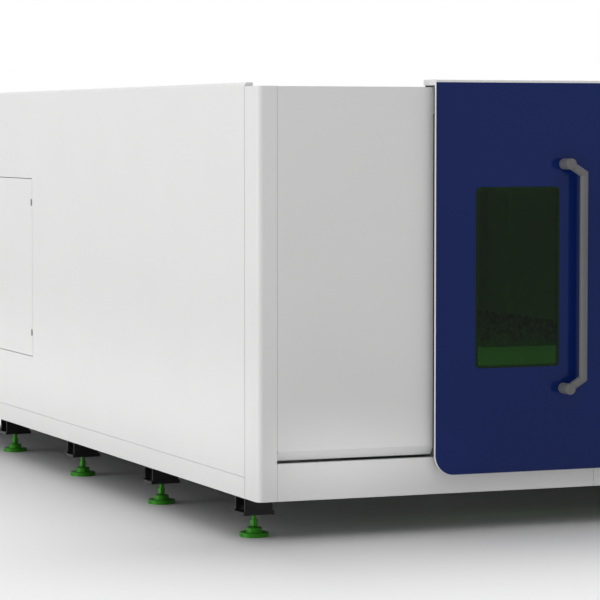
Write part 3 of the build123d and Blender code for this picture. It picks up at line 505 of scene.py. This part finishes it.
def roof_details():
    """Covers over the two joints of the roof panel, and the screws round it and along them."""
    low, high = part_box("roof_panel")
    joints = steps(low.y, high.y, 4)[1:3]
    half = (ROOF_COVER_HALF, ROOF_COVER_HALF - ROOF_COVER_BEVEL)
    top = high.z + ROOF_COVER_T
    work = bmesh.new()
    for y in joints:
        cover = [(y - half[0], high.z), (y - half[1], top), (y + half[1], top), (y + half[0], high.z)]
        run(work, cover, "x", low.x + ROOF_COVER_INSET, high.x - ROOF_COVER_INSET)
    piece("roof_joint_covers", work, "machine", finishes["white_paint"])
    sides = (low.x + ROOF_SCREW_INSET, high.x - ROOF_SCREW_INSET)
    rows = [y + off for y in joints for off in (-0.02, 0.02)]
    places = [(x, y, high.z) for x in sides for y in steps(low.y + 0.20, high.y - 0.12, 14)]
    places += [(x, high.y - 0.04, high.z) for x in steps(*sides, 10)]
    places += [(x, y, top) for x in steps(low.x + 0.15, high.x - 0.15, 9) for y in rows]
    screws("roof_screws", places, UPWARDS, radius=ROOF_SCREW_R, body="machine")


Y_RAIL_HALF = 0.017
X_RAIL_HALF = 0.0125
Y_CAP_INSET = 0.05
X_CAP_INSET = 0.03
SADDLE_SCREW_IN = (0.17, 0.10, 0.03)
SADDLE_SCREW_INSET = 0.04
CARRIAGE_PLATE_BACK = 0.060
CARRIAGE_SCREW_X = (-0.112, -0.080, 0.080, 0.112)
CARRIAGE_SCREW_Z = (0.882, 0.912, 1.036, 1.066)


def motion_details():
    """Caps of the guide rails, and the screws of the saddles and of the head carriage."""
    low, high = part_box("y_guide_rails")
    reach = high.x - Y_RAIL_HALF
    along = steps(low.y + Y_CAP_INSET, high.y - Y_CAP_INSET, 41)
    places = [(x, y, high.z) for x in (-reach, reach) for y in along]
    caps("y_rail_caps", places, UPWARDS, radius=0.008, body="machine")
    low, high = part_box("x_guide_rails")
    heights = (low.z + X_RAIL_HALF, high.z - X_RAIL_HALF)
    along = steps(low.x + X_CAP_INSET, high.x - X_CAP_INSET, 26)
    places = [(x, low.y, z) for z in heights for x in along]
    caps("x_rail_caps", places, FORWARDS, radius=0.0055, body="gantry")
    low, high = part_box("gantry_saddles")
    rows = (low.y + SADDLE_SCREW_INSET, high.y - SADDLE_SCREW_INSET)
    places = [(sign * (high.x - off), y, high.z) for sign in (-1, 1) for off in SADDLE_SCREW_IN for y in rows]
    screws("saddle_screws", places, UPWARDS, radius=0.011, body="gantry")
    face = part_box("z_axis_drive")[0].y + CARRIAGE_PLATE_BACK
    places = [(x, face, z) for x in CARRIAGE_SCREW_X for z in CARRIAGE_SCREW_Z]
    screws("carriage_screws", places, FORWARDS, radius=0.006, body="x_carriage")


# Cutting head: half width, height from its lower end and thickness of the two plates on its front
HEAD_COVER_HALF = 0.038
HEAD_COVER_Z = (0.090, 0.230)
HEAD_COVER_T = 0.002
HEAD_SCREW_X = (-0.031, 0.031)
HEAD_SCREW_Z = (0.098, 0.222)
DRAWER_HALF = 0.036
DRAWER_Z = (0.026, 0.062)
DRAWER_T = 0.010
KNOB = ((0, 0), (0.004, 0), (0.004, 0.004), (0.009, 0.006), (0.010, 0.012), (0.008, 0.015), (0, 0.0155))
KNOB_Z = 0.044


def head_details():
    """Cover plate and window drawer on the front of the cutting head."""
    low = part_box("cutting_head")[0]
    cover = [low.z + z for z in HEAD_COVER_Z]
    drawer = [low.z + z for z in DRAWER_Z]
    work = bmesh.new()
    plate(work, (-HEAD_COVER_HALF, HEAD_COVER_HALF), cover, (low.y - HEAD_COVER_T, low.y), corner=0.005)
    plate(work, (-DRAWER_HALF, DRAWER_HALF), drawer, (low.y - DRAWER_T, low.y), corner=0.004)
    piece("head_covers", work, "z_head", finishes["motor_black"])
    corners = [(x, low.y - HEAD_COVER_T, low.z + z) for x in HEAD_SCREW_X for z in HEAD_SCREW_Z]
    screws("head_cover_screws", corners, FORWARDS, radius=0.0035, body="z_head")
    work = bmesh.new()
    turned(work, KNOB, (0, low.y - DRAWER_T, low.z + KNOB_Z), FORWARDS, sides=24)
    piece("window_drawer_knob", work, "z_head", finishes["bright_steel"])


# Laser source: X from its left side, Z from the floor
SOURCE_LOUVRE_X = (0.08, 0.42)
SOURCE_LOUVRE_Z = (0.44, 0.80)
SOURCE_DOOR_X = (0.50, 0.82)
SOURCE_DOOR_Z = (0.42, 0.94)
SOURCE_DOOR_T = 0.003
SOURCE_SCREW_X = (0.52, 0.80)
SOURCE_SCREW_Z = (0.44, 0.68, 0.92)


def source_details():
    """Louvres and a screwed door on the front of the laser source."""
    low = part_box("laser_source")[0]
    vent = [low.x + x for x in SOURCE_LOUVRE_X]
    door = [low.x + x for x in SOURCE_DOOR_X]
    heights = steps(*SOURCE_LOUVRE_Z, 13)
    louvres("source_louvres", low.y, -1, vent, heights, finishes["head_housing"])
    face = low.y - SOURCE_DOOR_T
    work = bmesh.new()
    plate(work, door, SOURCE_DOOR_Z, (face, low.y), corner=0.012)
    piece("source_door", work, "machine", finishes["head_housing"])
    corners = [(low.x + x, face, z) for x in SOURCE_SCREW_X for z in SOURCE_SCREW_Z]
    screws("source_door_screws", corners, FORWARDS, radius=0.006, body="machine")


shade_door_seals()
window_prints()
seam_fillers()
rear_details()
roof_details()
motion_details()
head_details()
source_details()


# Stage, light and view

def seen_rays(tree):
    """1 for camera, glossy and transmission rays, 0 for light that matt surfaces pass on."""
    light_path = add(tree, "ShaderNodeLightPath")
    sharp = add(tree, "ShaderNodeMath", {"operation": "MAXIMUM"})
    tree.links.new(light_path.outputs["Is Camera Ray"], sharp.inputs[0])
    tree.links.new(light_path.outputs["Is Glossy Ray"], sharp.inputs[1])
    either = add(tree, "ShaderNodeMath", {"operation": "MAXIMUM"})
    tree.links.new(sharp.outputs["Value"], either.inputs[0])
    tree.links.new(light_path.outputs["Is Transmission Ray"], either.inputs[1])
    return either.outputs["Value"]


def floor_material():
    material, tree, surface = shader("studio_floor")
    tint = shade_between(tree, noise(tree, scale=0.8, detail=3.0), FLOOR_DARK, FLOOR_LIGHT)
    tree.links.new(tint, surface.inputs["Base Color"])
    surface.inputs["Roughness"].default_value = 0.9
    surface.inputs["Specular IOR Level"].default_value = 0.1
    return material


def floor_plane(reach):
    corners = [(-reach, -reach, 0), (reach, -reach, 0), (reach, reach, 0), (-reach, reach, 0)]
    mesh = bpy.data.meshes.new("studio_floor")
    mesh.from_pydata(corners, [], [(0, 1, 2, 3)])
    mesh.materials.append(floor_material())
    plane = bpy.data.objects.new("studio_floor", mesh)
    scene.collection.objects.link(plane)


def studio_world(fill):
    """Even fill light, and white where the camera sees past the floor."""
    world = bpy.data.worlds.new("studio")
    world.use_nodes = True
    scene.world = world
    tree = world.node_tree
    background = tree.nodes["Background"]
    background.inputs["Color"].default_value = (1, 1, 1, 1)
    background.inputs["Strength"].default_value = fill
    seen = add(tree, "ShaderNodeBackground", inputs={"Color": (1, 1, 1, 1), "Strength": 1.0})
    mix = add(tree, "ShaderNodeMixShader")
    tree.links.new(seen_rays(tree), mix.inputs["Fac"])
    tree.links.new(background.outputs["Background"], mix.inputs[1])
    tree.links.new(seen.outputs["Background"], mix.inputs[2])
    tree.links.new(mix.outputs["Shader"], tree.nodes["World Output"].inputs["Surface"])


def soft_sun(name, heading, strength, width_deg):
    """Far lamp that shines along a heading, its edges softened by its width in degrees."""
    lamp = bpy.data.lights.new(name, "SUN")
    lamp.energy = strength
    lamp.angle = math.radians(width_deg)
    holder = bpy.data.objects.new(name, lamp)
    holder.rotation_euler = Vector(heading).to_track_quat("-Z", "Y").to_euler()
    scene.collection.objects.link(holder)


def softbox(name, at, aim, size, watts, fan_deg):
    """Flat lamp that reflections don't show; its light fans out by an angle in degrees."""
    lamp = bpy.data.lights.new(name, "AREA")
    lamp.shape = "RECTANGLE"
    lamp.size, lamp.size_y = size
    lamp.energy = watts
    lamp.spread = math.radians(fan_deg)
    holder = bpy.data.objects.new(name, lamp)
    holder.location = at
    holder.visible_glossy = False
    holder.rotation_euler = (Vector(aim) - Vector(at)).to_track_quat("-Z", "Y").to_euler()
    scene.collection.objects.link(holder)


def photo_camera():
    lens = bpy.data.cameras.new("photo_camera")
    lens.lens = LENS_MM
    lens.sensor_width = SENSOR_MM
    lens.clip_end = CAMERA_REACH
    camera = bpy.data.objects.new("photo_camera", lens)
    camera.location = CAMERA_AT
    camera.rotation_euler = (math.radians(90 - CAMERA_TILT), 0, math.radians(-CAMERA_TURN))
    scene.collection.objects.link(camera)
    scene.camera = camera


floor_plane(FLOOR_REACH)
studio_world(WORLD_FILL)
soft_sun("back_sun", heading=(-0.36, -0.36, -0.86), strength=2.05, width_deg=45.0)
soft_sun("front_sun", heading=(0.0, 1.0, -1.43), strength=0.32, width_deg=40.0)
soft_sun("left_sun", heading=(1.0, 0.0, -0.03), strength=1.2, width_deg=12.0)
softbox("chamber_light", (-0.15, -2.72, 0.70), aim=(-0.15, -2.34, 0.74), size=(1.0, 0.05), watts=0.19, fan_deg=70)
softbox("side_fill", (-3.5, 0.0, 0.14), aim=(-1.67, 0.0, 0.46), size=(5.6, 0.12), watts=1.4, fan_deg=32)
softbox("front_fill", (-1.28, -3.55, 0.10), aim=(-1.28, -2.75, 0.30), size=(0.6, 0.08), watts=0.090, fan_deg=48)
softbox("fold_fill", (-1.12, -3.55, 0.08), aim=(-1.12, -2.75, 0.40), size=(0.95, 0.05), watts=0.05, fan_deg=24)
photo_camera()
scene.view_settings.view_transform = "Standard"
